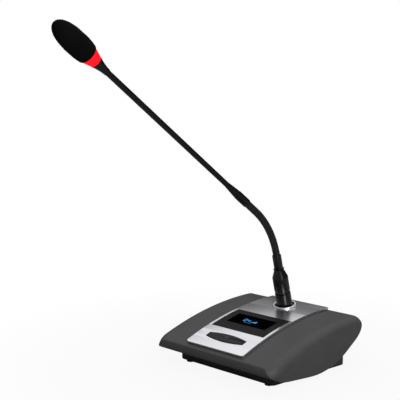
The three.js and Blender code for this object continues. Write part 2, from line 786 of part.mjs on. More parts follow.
add('top_cover', buildCover(), charcoal);
add('bottom_pan', buildPan(), black_plastic);
add('trim_plate', buildPlate(), silver);
add('display_bezel', buildBezel(), bezel_black);
add('display_window', buildWindow(), glass_black);
add('display_module', buildDisplayModule(), black_plastic);
add('talk_button', buildButton(), black_plastic);
add('talk_switch', buildSwitch(), black_plastic);
add('button_board', buildButtonBoard(), board_green);
add('main_board', buildMainBoard(), board_green);
add('ballast_plate', block(-38, 38, board_front_y + 12, board_back_y - 12,
  floor_high + gap, floor_high + gap + 4), steel);
Object.entries(foot_places).forEach(([name, place]) => add(name, buildFoot(place), rubber));
screw_places.forEach((place, i) => add(`case_screw_${i + 1}`, buildScrew(place), steel));
add('bus_socket_left', buildJack(-1), black_plastic);
add('bus_socket_right', buildJack(1), black_plastic);
add('stem_socket', buildSocket(), black_metal);
add('socket_core', buildSocketCore(), black_plastic);
add('socket_trim_ring', buildTrimRing(), chrome);
[-1, 1].forEach((side, i) => add(`socket_screw_${i + 1}`, buildSocketScrew(side), steel));
pinPlaces().forEach((place, i) => {
  add(`socket_contact_${i + 1}`, buildContact(place), brass);
  add(`plug_pin_${i + 1}`, buildPin(place), brass);
});
add('lock_ring', buildLockRing(), black_metal);
add('plug_shell', buildPlugShell(), black_metal);
add('plug_insert', buildInsert(), black_plastic);
add('gland_collar', buildCollar(), black_metal);
add('gooseneck_root', buildRoot(), black_metal);
for (let i = 1; i < hinge_count; i += 1) {
  add(`gooseneck_link_${i}`, buildLink(hinge_places[i - 1], hinge_places[i]), black_metal);
}
add('gooseneck_tip', buildTip(), black_metal);
add('coupling_sleeve', buildSleeve(), black_metal);
add('upper_tube', buildTube(), black_metal);
add('mic_housing', buildHousing(), black_metal);
add('light_ring', buildLightRing(), light_red);
add('light_board', buildLightBoard(), board_green);
add('grille_basket', buildBasket(), black_metal);
add('capsule', buildCapsule(), steel);
add('windscreen', buildWindscreen(), foam_black);

// The origin is under the middle of the whole object, on the surface that its feet stand on.
const extent = new THREE.Box3().setFromObject(microphone);
const middle = extent.getCenter(new THREE.Vector3());
microphone.position.set(-middle.x, -middle.y, -extent.min.z);

export default microphone;
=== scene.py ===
# %% [markdown]
# # Gooseneck podium microphone
# A desk base with an arched roof, a silver plate with a display and a talk button, and a
# plug-in stem that ends in a light ring and a foam windscreen. The design and everything that
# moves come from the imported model. This lesson adds what the eye judges: smooth surfaces,
# softened edges, ribs, foam and finishes.

# %% Load the frame
import json
import math

import bmesh
import bpy
import numpy as np
from mathutils import Matrix, Vector


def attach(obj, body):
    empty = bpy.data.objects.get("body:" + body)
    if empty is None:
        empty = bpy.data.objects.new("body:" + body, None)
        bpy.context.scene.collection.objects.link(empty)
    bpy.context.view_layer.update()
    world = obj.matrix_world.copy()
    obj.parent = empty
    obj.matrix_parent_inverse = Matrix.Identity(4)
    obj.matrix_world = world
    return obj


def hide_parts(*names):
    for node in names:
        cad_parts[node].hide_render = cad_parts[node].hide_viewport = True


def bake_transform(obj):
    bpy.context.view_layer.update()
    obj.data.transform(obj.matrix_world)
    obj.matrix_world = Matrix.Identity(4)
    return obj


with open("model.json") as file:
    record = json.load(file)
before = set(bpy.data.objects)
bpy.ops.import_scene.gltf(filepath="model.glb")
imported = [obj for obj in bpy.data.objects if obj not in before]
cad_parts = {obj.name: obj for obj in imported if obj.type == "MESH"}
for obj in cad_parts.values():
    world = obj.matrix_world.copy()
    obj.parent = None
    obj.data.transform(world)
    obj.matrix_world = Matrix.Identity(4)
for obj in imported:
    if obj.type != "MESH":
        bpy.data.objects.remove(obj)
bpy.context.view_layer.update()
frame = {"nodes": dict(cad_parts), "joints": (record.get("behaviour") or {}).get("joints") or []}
joints = {joint["name"]: joint for joint in frame["joints"]}

# %% [markdown]
# ## Units and places
# A maker thinks of this object in millimetres, from the middle of the base, so every size below
# is in millimetres and one function turns points into the frame's metres. The stem's socket is
# the anchor: its hinge says where the plug stands, and the rest is measured from it.

# %% Sizes that the pieces share, in millimetres
plug_y, plug_z = 50.6, 61.9          # lower end of the lock ring, from the middle of the base
plug_point = np.array(joints["lock_ring_turn"]["pos_m"]) * 1000
base_shift = np.array([0.0, plug_point[1] - plug_y, plug_point[2] - plug_z])
plug_axis = np.array(joints["lock_ring_turn"]["axis"])
head_axis = np.array(joints["windscreen_pull"]["axis"])

arch_radius = 458.6                  # the roof, seen from the side
arch_top_y, arch_top_z = 66.0, 55.7
plate_rise = 3.2                     # silver plate's top above the roof
gap = 0.3
collar_top = 65.5                    # along the plug from the lock ring's lower end
bend_length, flexible_length = 71.5, 92.8
stem_length = 365.7                  # collar to the light ring


def metres(points):
    """Millimetres from the middle of the base -> metres in the row frame."""
    return (np.asarray(points, float) + base_shift) / 1000


def arch_height(y, rise=0.0):
    """Height of the circle of radius arch_radius + rise about the arch's centre, at y."""
    return arch_top_z - arch_radius + np.sqrt((arch_radius + rise) ** 2 - (y - arch_top_y) ** 2)


print("base shifted by", base_shift.round(3), "mm")

# %% [markdown]
# ## Surfaces from grids
# Nearly every piece here is a grid of points: rows one way, columns the other. Blender could
# draw them with spin and screw tools, but a grid worked out with numpy has its formula in plain
# sight and gives even faces that shade smoothly. Doubled points at poles and seams are merged,
# and the faces are turned outwards, before anything else is done to the mesh.

# %% Grid to mesh


def shaded(mesh, sharp_angle):
    """Smooth shading with sharp edges; faces of five sides or more are level cuts and stay flat."""
    mesh.shade_smooth()
    mesh.set_sharp_from_angle(angle=math.radians(sharp_angle))
    sides = np.zeros(len(mesh.polygons), np.int32)
    mesh.polygons.foreach_get("loop_total", sides)
    mesh.polygons.foreach_set("use_smooth", sides <= 4)
    return mesh


def piece_from(name, vertices, faces, smooth_angle=35):
    """A mesh object from points in millimetres: doubles merged, faces outwards, smooth shaded."""
    mesh = bpy.data.meshes.new(name)
    mesh.from_pydata(metres(vertices).tolist(), [], faces)
    shaped = bmesh.new()
    shaped.from_mesh(mesh)
    bmesh.ops.remove_doubles(shaped, verts=shaped.verts, dist=2e-6)
    bmesh.ops.dissolve_degenerate(shaped, dist=1e-6, edges=shaped.edges)
    bmesh.ops.recalc_face_normals(shaped, faces=shaped.faces)
    shaped.to_mesh(mesh)
    shaped.free()
    obj = bpy.data.objects.new(name, shaded(mesh, smooth_angle))
    bpy.context.scene.collection.objects.link(obj)
    return obj


def grid(name, points, wrap_rows=False, wrap_columns=True, caps=True, smooth_angle=35):
    """Quads between neighbours of a (rows, columns, 3) grid; caps closes the first and last row."""
    rows, columns = points.shape[:2]
    index = np.arange(rows * columns).reshape(rows, columns)
    down = np.roll(index, -1, 0) if wrap_rows else index[1:]
    near = index if wrap_rows else index[:-1]
    right = np.roll(near, -1, 1)
    far = np.roll(down, -1, 1)
    quads = np.stack([near, right, far, down], -1)
    if not wrap_columns:
        quads = quads[:, :-1]
    faces = quads.reshape(-1, 4).tolist()
    if caps and not wrap_rows:
        faces += [index[0, ::-1].tolist(), index[-1].tolist()]
    return piece_from(name, points.reshape(-1, 3), faces, smooth_angle)


def eased(profile, radii, steps=4):
    """Profile with each inner corner replaced by a quadratic curve that starts a radius away.

    Point on the curve: (1-t)^2 before + 2t(1-t) corner + t^2 after.
    """
    profile = [np.array(p, float) for p in profile]
    t = np.linspace(0, 1, steps + 1)[:, None]
    out = [profile[0][None]]
    radii = np.broadcast_to(radii, len(profile) - 2)
    for before, corner, after, radius in zip(profile, profile[1:], profile[2:], radii):
        back, ahead = before - corner, after - corner
        reach = min(radius, 0.45 * np.linalg.norm(back), 0.45 * np.linalg.norm(ahead))
        a = corner + back / np.linalg.norm(back) * reach
        b = corner + ahead / np.linalg.norm(ahead) * reach
        out.append((1 - t) ** 2 * a + 2 * t * (1 - t) * corner + t ** 2 * b)
    return np.concatenate(out + [profile[-1][None]])


def side_axes(axis):
    """Two directions square to an axis that lies in the plane x = 0: across, and in the plane."""
    across = np.array([1.0, 0.0, 0.0])
    return across, np.cross(axis, across)


def turned(name, profile, origin, axis, columns=72, loop=False, smooth_angle=35):
    """Surface of revolution: radius r at height h becomes origin + h axis + r (cos, sin)."""
    across, upward = side_axes(axis)
    turn = np.linspace(0, 2 * np.pi, columns, endpoint=False)
    ring = np.cos(turn)[:, None] * across + np.sin(turn)[:, None] * upward
    r, h = np.asarray(profile, float).T
    points = origin + h[:, None, None] * axis + r[:, None, None] * ring
    return grid(name, points, wrap_rows=loop, caps=not loop, smooth_angle=smooth_angle)


def in_base(point):
    """A point of the frame, in millimetres from the middle of the base."""
    return np.asarray(point, float) * 1000 - base_shift


plug_origin = in_base(joints["lock_ring_turn"]["pos_m"])
print("plug at", plug_origin.round(2), "leaning", round(math.degrees(math.asin(-plug_axis[1])), 1))

# %% [markdown]
# ## Camera and light
# The camera looks down eight degrees with a long lens, as product pictures are taken. The light
# is a bright sky with a darker horizon, so that the steep front of the silver plate shines and
# its level back stays grey, and one soft lamp on the right draws a line of light down the stem.
# The pale ground is a plane whose far part shows plain white, and which keeps a faint shadow.

# %% Camera
camera_at = np.array([635.3, -782.5, 337.15])
camera_azimuth, camera_down = 43.05, 7.98
focal_pixels, frame_pixels, sensor_mm = 865.5, 400, 36

camera_data = bpy.data.cameras.new("camera")
camera_data.sensor_width = sensor_mm
camera_data.lens = focal_pixels / frame_pixels * sensor_mm
camera_data.clip_start = 0.01
camera = bpy.data.objects.new("camera", camera_data)
camera.location = metres(camera_at)
camera.rotation_euler = (math.radians(90 - camera_down), 0, math.radians(camera_azimuth))
bpy.context.scene.collection.objects.link(camera)
bpy.context.scene.camera = camera
bpy.context.scene.view_settings.view_transform = "Standard"

# %% Sky, ground and lamps


def node(tree, kind, **inputs):
    """A shader node with its sockets filled in: values are set, sockets are linked."""
    new = tree.nodes.new(kind)
    for key, value in inputs.items():
        socket = new.inputs[int(key[1:]) if key.startswith("i") and key[1:].isdigit() else key]
        if isinstance(value, bpy.types.NodeSocket):
            tree.links.new(value, socket)
        else:
            socket.default_value = value
    return new


world = bpy.data.worlds.new("studio")
world.use_nodes = True
bpy.context.scene.world = world
tree = world.node_tree
tree.nodes.clear()
direction = tree.nodes.new("ShaderNodeTexCoord")
height = node(tree, "ShaderNodeSeparateXYZ", Vector=direction.outputs["Generated"])
sky = node(tree, "ShaderNodeValToRGB", Fac=height.outputs["Z"])
sky.color_ramp.elements[0].position = 0.4
sky.color_ramp.elements[0].color = (0.03, 0.03, 0.031, 1)
sky.color_ramp.elements[1].position = 0.54
sky.color_ramp.elements[1].color = (0.98, 0.98, 1.0, 1)
front = node(tree, "ShaderNodeMapRange", Value=height.outputs["Y"])
front.inputs["From Min"].default_value, front.inputs["From Max"].default_value = -0.9, 0.1
front.inputs["To Min"].default_value = 0.25
sky_light = node(tree, "ShaderNodeBackground", Color=sky.outputs["Color"],
                 Strength=front.outputs["Result"])
white_back = node(tree, "ShaderNodeBackground", Color=(1, 1, 1, 1), Strength=1.0)
ray = tree.nodes.new("ShaderNodeLightPath")
seen = node(tree, "ShaderNodeMixShader", Fac=ray.outputs["Is Camera Ray"],
            i1=sky_light.outputs[0], i2=white_back.outputs[0])
node(tree, "ShaderNodeOutputWorld", Surface=seen.outputs[0])

ground_mesh = bpy.data.meshes.new("ground")
ground_half = 6.0
ground_mesh.from_pydata([(-ground_half, -ground_half, 0), (ground_half, -ground_half, 0),
                         (ground_half, ground_half, 0), (-ground_half, ground_half, 0)],
                        [], [(0, 1, 2, 3)])
ground = bpy.data.objects.new("ground", ground_mesh)
bpy.context.scene.collection.objects.link(ground)
ground_paint = bpy.data.materials.new("pale_ground")
ground_paint.use_nodes = True
tree = ground_paint.node_tree
tree.nodes.clear()
spot = tree.nodes.new("ShaderNodeTexCoord")
away = node(tree, "ShaderNodeVectorMath", i0=spot.outputs["Object"], i1=(0.0, 0.1, 0.0))
away.operation = "DISTANCE"
fade = node(tree, "ShaderNodeMapRange", Value=away.outputs["Value"])
fade.inputs["From Min"].default_value = 0.12
fade.inputs["From Max"].default_value = 0.4
fade.inputs["To Min"].default_value = 0.92
ray = tree.nodes.new("ShaderNodeLightPath")
share = node(tree, "ShaderNodeMath", i0=fade.outputs["Result"], i1=ray.outputs["Is Camera Ray"])
share.operation = "MULTIPLY"
pale = node(tree, "ShaderNodeBsdfDiffuse", Color=(0.42, 0.42, 0.42, 1))
white = node(tree, "ShaderNodeEmission", Color=(1, 1, 1, 1), Strength=1.0)
both = node(tree, "ShaderNodeMixShader", Fac=share.outputs[0], i1=pale.outputs[0],
            i2=white.outputs[0])
node(tree, "ShaderNodeOutputMaterial", Surface=both.outputs[0])
ground_mesh.materials.append(ground_paint)


def soft_lamp(name, place, aim, width, depth, watts):
    """A rectangular lamp at a place, turned towards a point, both in millimetres."""
    data = bpy.data.lights.new(name, "AREA")
    data.shape = "RECTANGLE"
    data.size, data.size_y, data.energy = width, depth, watts
    lamp = bpy.data.objects.new(name, data)
    lamp.location = metres(place)
    look = Vector(metres(aim)) - Vector(lamp.location)
    lamp.rotation_euler = look.to_track_quat("-Z", "Y").to_euler()
    bpy.context.scene.collection.objects.link(lamp)
    return lamp


soft_lamp("right_softbox", (1000, -470, 560), (0, -40, 120), 0.3, 0.6, 7)
soft_lamp("top_softbox", (-150, 0, 1300), (0, 0, 40), 0.9, 0.9, 1.6)

# %% [markdown]
# ## Finishes
# Each finish is a Principled shader whose colour, roughness and fine relief come from noise on
# Object coordinates, so the grain stays put on the piece and has its real size: moulded
# plastic has a spark texture of a third of a millimetre, foam has open cells of half a
# millimetre. Numbers that are the same all over a piece are set on the shader's own sockets.

# %% Finish helper


def finish(name, color, roughness, metallic=0.0, grain=0.0004, depth=0.00002, mottle=0.06,
           rough_spread=0.06, **sockets):
    """Principled finish with a noise of `grain` metres in relief, roughness and colour."""
    paint = bpy.data.materials.new(name)
    paint.use_nodes = True
    tree = paint.node_tree
    shader = tree.nodes["Principled BSDF"]
    shader.inputs["Metallic"].default_value = metallic
    for socket, value in sockets.items():
        shader.inputs[socket.replace("_", " ")].default_value = value
    spot = tree.nodes.new("ShaderNodeTexCoord").outputs["Object"]
    fine = node(tree, "ShaderNodeTexNoise", Vector=spot, Scale=1 / grain, Detail=3.0)
    broad = node(tree, "ShaderNodeTexNoise", Vector=spot, Scale=35.0, Detail=4.0)
    tone = node(tree, "ShaderNodeMapRange", Value=broad.outputs["Fac"])
    tone.inputs["From Min"].default_value, tone.inputs["From Max"].default_value = 0.3, 0.7
    tone.inputs["To Min"].default_value = 1 - mottle
    tone.inputs["To Max"].default_value = 1 + mottle
    tinted = node(tree, "ShaderNodeVectorMath", i0=color[:3], i1=tone.outputs["Result"])
    tinted.operation = "MULTIPLY"
    tree.links.new(tinted.outputs["Vector"], shader.inputs["Base Color"])
    rough = node(tree, "ShaderNodeMapRange", Value=fine.outputs["Fac"])
    rough.inputs["To Min"].default_value = max(roughness - rough_spread, 0.02)
    rough.inputs["To Max"].default_value = min(roughness + rough_spread, 1.0)
    tree.links.new(rough.outputs["Result"], shader.inputs["Roughness"])
    relief = node(tree, "ShaderNodeBump", Height=fine.outputs["Fac"], Distance=depth)
    relief.inputs["Strength"].default_value = 0.6
    tree.links.new(relief.outputs["Normal"], shader.inputs["Normal"])
    return paint


charcoal_shell = finish("charcoal_shell", (0.05, 0.05, 0.0505), 0.55, grain=0.0005,
                        depth=0.00004, Specular_IOR_Level=0.35)
black_shell = finish("black_shell", (0.018, 0.018, 0.018), 0.5)
button_black = finish("button_black", (0.012, 0.012, 0.0115), 0.42, grain=0.0006,
                      IOR=1.25)
plate_silver = finish("plate_silver", (0.80, 0.80, 0.82), 0.27, 1.0, grain=0.00025,
                      depth=0.000006, mottle=0.02, rough_spread=0.04)
bezel_black = finish("bezel_black", (0.014, 0.014, 0.014), 0.4, IOR=1.12)
screen_glass = finish("screen_glass", (0.0006, 0.0006, 0.0008), 0.12, depth=0.0,
                      rough_spread=0.01, IOR=1.01)
rubber = finish("rubber", (0.008, 0.008, 0.008), 0.85, grain=0.0008, depth=0.00005)
circuit_board = finish("circuit_board", (0.012, 0.1, 0.035), 0.45, grain=0.003)
zinc_steel = finish("zinc_steel", (0.5, 0.5, 0.5), 0.4, 1.0)
socket_black = finish("socket_black", (0.015, 0.015, 0.015), 0.4, 0.3)
chrome_trim = finish("chrome_trim", (0.95, 0.95, 0.96), 0.42, 1.0, depth=0.0,
                     rough_spread=0.02, mottle=0.01)
gold_contact = finish("gold_contact", (0.83, 0.6, 0.25), 0.25, 1.0)
plug_black = finish("plug_black", (0.007, 0.007, 0.0072), 0.24, 0.0, grain=0.0003,
                    depth=0.00001, IOR=1.42)
gooseneck_black = finish("gooseneck_black", (0.007, 0.007, 0.0072), 0.3, 0.0, grain=0.0004,
                         IOR=1.35)
tube_black = finish("tube_black", (0.006, 0.006, 0.0062), 0.22, 0.0, grain=0.0006, IOR=1.28)
basket_black = finish("basket_black", (0.02, 0.02, 0.02), 0.4, 0.8, grain=0.0009)
foam_black = finish("foam_black", (0.004, 0.004, 0.004), 0.95, grain=0.0006,
                    depth=0.0003, mottle=0.3, Specular_IOR_Level=0.05)
light_red = finish("light_red", (0.5, 0.006, 0.01), 0.5, depth=0.0, mottle=0.03, IOR=1.12,
                   Emission_Color=(1.0, 0.008, 0.016, 1), Emission_Strength=1.0)
bezel_mark = finish("button_mark", (0.06, 0.06, 0.06), 0.45)
symbol_blue = finish("symbol_blue", (0.03, 0.2, 0.5), 0.4, depth=0.0, mottle=0.0,
                     Emission_Color=(0.05, 0.33, 0.7, 1), Emission_Strength=1.0)


def paint(paint_material, *names):
    """Gives CAD nodes a finish in their own material slot."""
    for name in names:
        materials = frame["nodes"][name].data.materials
        materials.clear()
        materials.append(paint_material)


def dress(obj, material, slot_name, body, *nodes):
    """Finishes a new piece: its material, its body and the CAD nodes it stands for; slot_name is
    not used.
    """
    obj.data.materials.clear()
    obj.data.materials.append(material)
    if body:
        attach(obj, body)
    if nodes:
        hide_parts(*nodes)
    return obj


paint(black_shell, "display_module", "socket_core", "talk_switch", "bus_socket_left",
      "bus_socket_right", "plug_insert")
paint(circuit_board, "button_board", "main_board", "light_board")
paint(zinc_steel, "ballast_plate", "case_screw_1", "case_screw_2", "case_screw_3",
      "case_screw_4", "socket_screw_1", "socket_screw_2", "capsule")
paint(gold_contact, *[f"socket_contact_{i}" for i in (1, 2, 3)],
      *[f"plug_pin_{i}" for i in (1, 2, 3)])
paint(socket_black, "stem_socket")
print("finishes:", len(bpy.data.materials))

# %% [markdown]
# ## Base cover
# The cover is a moulding in charcoal plastic: one side profile carried straight across, flat
# cheeks, and a roof that follows a long arc. It is drawn as sections at constant x. Each
# section is the lower outline (nose, belly, back) closed by the roof, and towards a cheek the
# roof sinks along a quarter circle, which makes the shoulders. A sculpted subdivision cage could
# do it, but sections keep the cheeks flat and the crease crisp where the photo has them so.

# %% Cover
half_width, half_depth, shoulder, edge = 90.0, 86.0, 11.0, 0.9
corner_length, corner_inset = 16.0, 6.5      # the cheeks draw in towards the nose
crease_radius, wall = 1.3, 2.5
side_points = np.array([
    (-84.3, 30.4), (-86.0, 26.0), (-84.3, 21.4), (-79.0, 18.0), (-65.4, 12.6), (-40.4, 9.1),
    (-10.3, 5.8), (9.0, 5.9), (30.5, 9.2), (46.4, 14.9), (61.9, 22.8), (75.0, 30.2),
    (82.4, 36.2), (86.0, 43.0), (85.4, 50.0), (83.4, 55.6)])


def smooth_through(points, count):
    """Uniform Catmull-Rom curve through points, with straight run-ups at both ends."""
    padded = np.vstack([2 * points[0] - points[1], points, 2 * points[-1] - points[-2]])
    u = np.linspace(0, len(points) - 1 - 1e-9, count)
    i = u.astype(int)
    t = (u - i)[:, None]
    p0, p1, p2, p3 = (padded[i + k] for k in range(4))
    return 0.5 * (2 * p1 + (p2 - p0) * t + (2 * p0 - 5 * p1 + 4 * p2 - p3) * t ** 2
                  + (3 * p1 - p0 - 3 * p2 + p3) * t ** 3)


def lengths(path):
    """Distance along a polyline at each of its points."""
    return np.concatenate([[0], np.cumsum(np.linalg.norm(np.diff(path, axis=0), axis=1))])


def along(path, at):
    """Points of a polyline at the given distances along it."""
    s = lengths(path)
    return np.stack([np.interp(at, s, path[:, k]) for k in range(path.shape[1])], -1)


def inset_path(path, by):
    """Polyline moved to its left by `by`, square to its own direction at each point."""
    heading = np.gradient(path, axis=0)
    heading /= np.linalg.norm(heading, axis=1)[:, None]
    return path + by * np.stack([-heading[:, 1], heading[:, 0]], -1)


def body_section(drop, inset, columns=(92, 64, 5)):
    """One closed section, [y, z]: lower outline, then the roof lowered by drop, corners eased."""
    low = smooth_through(side_points, 600)
    low = np.vstack([low[0] + (0, 20), low, low[-1] + (0, 20)])
    low = inset_path(low, inset)
    centre = np.array([arch_top_y, arch_top_z - arch_radius])
    clear = np.linalg.norm(low - centre, axis=1) - (arch_radius - drop)
    under = np.flatnonzero(clear < 0)
    s = lengths(low)
    first, last = under[0], under[-1]
    start = np.interp(0, [clear[first], clear[first - 1]], [s[first], s[first - 1]])
    stop = np.interp(0, [clear[last], clear[last + 1]], [s[last], s[last + 1]])
    lower_count, roof_count, ease_count = columns
    corners = along(low, [start, stop])
    spread = np.linspace(start + crease_radius, stop - crease_radius, lower_count)
    lower = along(low, spread)
    angle = np.arcsin((corners[::-1, 0] - arch_top_y) / (arch_radius - drop))
    ease = crease_radius / arch_radius
    turn = np.linspace(angle[0] - ease, angle[1] + ease, roof_count)
    roof = centre + (arch_radius - drop) * np.stack([np.sin(turn), np.cos(turn)], -1)
    t = np.linspace(0, 1, ease_count + 1)[1:-1, None]

    def eased_corner(a, corner, b):
        return (1 - t) ** 2 * a + 2 * t * (1 - t) * corner + t ** 2 * b

    back = eased_corner(lower[-1], corners[1], roof[0])
    front = eased_corner(roof[-1], corners[0], lower[0])
    return np.vstack([lower, back, roof, front])


def body_points(inset):
    """Sections of the body at a wall depth: x, roof drop and edge rounding as quarter circles."""
    half, radius = half_width - inset, shoulder - inset
    turn = np.radians(np.linspace(0, 58, 9))
    round_turn = np.radians(np.linspace(0, 90, 7))
    x = np.concatenate([np.linspace(0, half - radius, 8)[1:-1], half - radius
                        + radius * np.sin(turn), half - edge + edge * np.sin(round_turn)])
    x = np.unique(x.round(5))
    x = np.concatenate([-x[::-1], [0], x])
    past_shoulder = np.clip(abs(x) - (half - radius), 0, radius)
    past_edge = np.clip(abs(x) - (half - edge), 0, edge)
    drop = radius - np.sqrt(radius ** 2 - past_shoulder ** 2)
    trim = edge - np.sqrt(edge ** 2 - past_edge ** 2)
    sections = [body_section(d + inset, r + inset) for d, r in zip(drop, trim)]
    points = np.stack([np.insert(section, 0, at, axis=1) for section, at in zip(sections, x)])
    ahead = np.clip((-half_depth + corner_length - points[..., 1]) / corner_length, 0, None)
    points[..., 0] *= 1 - corner_inset / half_width * ahead ** 2
    return points


def arch_turn(y):
    """Angle round the arch's centre of the place y on the silver plate's top face."""
    return np.arcsin((y - arch_top_y) / (arch_radius + plate_rise))


def on_arch(points, y):
    """Local (x, along, up) to the base: up is the plate's normal at y, the plate's top is 0."""
    turn = arch_turn(y)
    x, ahead, up = np.asarray(points, float).reshape(-1, 3).T
    return np.stack([x, y + ahead * np.cos(turn) + up * np.sin(turn),
                     arch_height(y, plate_rise) - ahead * np.sin(turn) + up * np.cos(turn)], -1)


def plan_loop(corners, radii, steps=5):
    """Closed outline with rounded corners: a quadratic ease on each corner, [x, y]."""
    corners = [np.array(c, float) for c in corners]
    ring = [corners[-1] * 0.5 + corners[0] * 0.5] + corners + [corners[-1] * 0.5 + corners[0] * 0.5]
    return eased(ring, radii, steps)[:-1]


def grown(loop, by):
    """Closed outline moved outwards by `by` (counter-clockwise outlines)."""
    edge_way = np.roll(loop, -1, 0) - np.roll(loop, 1, 0)
    edge_way /= np.linalg.norm(edge_way, axis=1)[:, None]
    return loop + by * np.stack([edge_way[:, 1], -edge_way[:, 0]], -1)


def stacked(loop, profile):
    """A plan outline carried up a profile of (outset, height): a (rows, columns, 3) grid."""
    return np.stack([np.insert(grown(loop, out), 2, up, axis=1) for out, up in profile])


def lens(outset, count=48):
    """Talk button's outline: two shallow arcs with cut-off ends, [x, y], counter-clockwise."""
    half, end, sag = 27.6 + outset, 3.7 + outset, 4.0
    radius = (half ** 2 + sag ** 2) / (2 * sag)
    sweep = np.arcsin(half / radius)
    turn = np.linspace(-sweep, sweep, count)
    low = np.stack([radius * np.sin(turn), radius - end - sag - radius * np.cos(turn)], -1)
    return plan_loop(np.vstack([low, -low]), 0.8, 1)


def carved(obj, *tools, sharp=35):
    """obj less its tools: exact boolean, applied at once, and the tools are removed."""
    for tool in tools:
        cutter = obj.modifiers.new("cut", "BOOLEAN")
        cutter.operation, cutter.solver, cutter.object = "DIFFERENCE", "EXACT", tool
    shape = bpy.data.meshes.new_from_object(
        obj.evaluated_get(bpy.context.evaluated_depsgraph_get()))
    obj.modifiers.clear()
    obj.data = shaded(shape, sharp)
    for tool in tools:
        bpy.data.objects.remove(tool)
    return obj


def softened(obj, width, angle=35, segments=3, harden=True):
    """Small rounded edges wherever two faces meet at more than `angle` degrees."""
    bevel = obj.modifiers.new("soft_edges", "BEVEL")
    bevel.width, bevel.segments = width / 1000, segments
    bevel.limit_method, bevel.angle_limit = "ANGLE", math.radians(angle)
    bevel.harden_normals = harden
    return obj


pan_front, pan_back = -60.5, 55.0
pan_corners = np.array([(-71, pan_front), (71, pan_front), (86, pan_back), (-86, pan_back)])
pan_outline = plan_loop(pan_corners, (5, 5, 3.5, 3.5))
cover = grid("base_cover_shell", body_points(0), smooth_angle=50)
cavity = grid("cavity", body_points(wall))
pan_hole = grid("pan_hole", stacked(pan_outline, [(0.4, -5), (0.4, 22)]))
button_y = -58.8
button_cutter = stacked(lens(2.6), [(0, -14), (0, 8)])
button_hole = grid("button_hole",
                   on_arch(button_cutter, button_y).reshape(button_cutter.shape))
socket_hole = turned("socket_hole", [(11.5, -33), (11.5, 12)], plug_origin, plug_axis, 48)
carved(cover, cavity, pan_hole, button_hole, socket_hole, sharp=50)
dress(cover, charcoal_shell, "charcoal_shell", "base", "top_cover")
print("cover:", len(cover.data.polygons), "faces")

# %% [markdown]
# ## Pan, feet and plate
# The black pan closes the belly: a tray with slanted sides, wider at the back, so that it shows
# as a dark wedge behind the rear cheek. Four rubber feet sit in its recesses. The silver plate
# is cut from anodised sheet and bent over the arc, with fine bright edges.

# %% Pan
pan_floor, pan_top = 2.0, 26.0
pan_rounding = 1.8
turn = np.radians(np.linspace(0, 90, 6))
pan_profile = [(-pan_rounding * (1 - np.sin(a)), pan_floor + pan_rounding * (1 - np.cos(a)))
               for a in turn]
pan_profile += [(0, pan_top), (-2, pan_top), (-2, pan_floor + 2)]
pan = grid("pan_tray", stacked(pan_outline, pan_profile))
foot_places = {"foot_front_left": (-60, pan_front + 6.3), "foot_front_right": (60, pan_front + 6.3),
               "foot_back_left": (-70, pan_back - 6.3), "foot_back_right": (70, pan_back - 6.3)}
screw_places = [(-60, pan_front + 19), (69, pan_back - 21), (60, pan_front + 19),
                (-69, pan_back - 21)]
up = np.array([0.0, 0.0, 1.0])


def upright(name, profile, place, columns=48, **rest):
    """A turned piece about a vertical axis through place, [x, y]."""
    return turned(name, profile, np.array([*place, 0.0]), up, columns, **rest)


holes = [upright("recess", [(5.3, 0), (5.3, 2.8)], place) for place in foot_places.values()]
holes += [upright("recess", [(2.7, 0), (2.7, 3.9)], place, 24) for place in screw_places]
holes += [upright("recess", [(1.4, 0), (1.4, 7)], place, 16) for place in screw_places]


def box_piece(name, low, high):
    """A plain box between two corners."""
    loop = plan_loop([(low[0], low[1]), (high[0], low[1]), (high[0], high[1]),
                      (low[0], high[1])], 0.3, 1)
    return grid(name, stacked(loop, [(0, low[2]), (0, high[2])]))


for side in (-1, 1):
    holes.append(box_piece("jack_mouth", (side * 26 - 5.6, 52, 6.55), (side * 26 + 5.6, 60, 14.55)))
carved(pan, *holes)
softened(pan, 0.25, 50, 2)
dress(pan, black_shell, "black_shell", "base", "bottom_pan")

for name, place in foot_places.items():
    profile = eased([(0.01, 0), (5, 0), (5, 2.5), (0.01, 2.5)], 0.8)
    dress(upright(f"{name}_rubber", profile, place), rubber, "rubber", "base", name)

# %% Silver plate, bezel and screen


def arch_strip(name, y0, y1, half, rise, thickness, corner=0.0, rows=40):
    """A strip bent over the arc: half width against y, with quarter-circle front corners."""
    ease = np.radians(np.linspace(0, 90, 8)) if corner else np.array([])
    y = np.concatenate([y0 + corner * (1 - np.cos(ease)),
                        np.linspace(y0 + corner, y1, rows)[1 if corner else 0:]])
    half = half - np.concatenate([corner * (1 - np.sin(ease)), np.zeros(len(y) - len(ease))])
    turn = arch_turn(y)
    points = []
    for side, depth in ((-1, thickness), (1, thickness), (1, 0), (-1, 0)):
        radius = arch_radius + rise - depth
        points.append(np.stack([side * half, arch_top_y + radius * np.sin(turn),
                                arch_top_z - arch_radius + radius * np.cos(turn)], -1))
    return grid(name, np.stack(points, 1))


plate_front, plate_back, plate_half = -80.1, 82.4, 43.2
display = (-39.8, 9.4, 39.4)
screen = (-24.4, -0.6, 29.2)
plate = arch_strip("silver_plate", plate_front, plate_back, plate_half, plate_rise,
                   plate_rise - gap, 3.5, rows=120)
softened(plate, 1.7, 40, 5, harden=False)
ring_lean = math.radians(9)
ring_axis = np.array([0, -math.sin(ring_lean), math.cos(ring_lean)])
ring_origin = plug_origin + (0, 0.1, -0.5)
slot_cutter = stacked(lens(0.4), [(0, -10), (0, 10)])
carved(plate,
       arch_strip("opening", display[0] - gap, display[1] + gap, display[2] + gap,
                  plate_rise + 5, 15),
       grid("opening", on_arch(slot_cutter, button_y).reshape(slot_cutter.shape)),
       turned("opening", [(14.3, -20), (14.3, 20)], ring_origin, ring_axis))
dress(plate, plate_silver, "plate_silver", "base", "trim_plate")

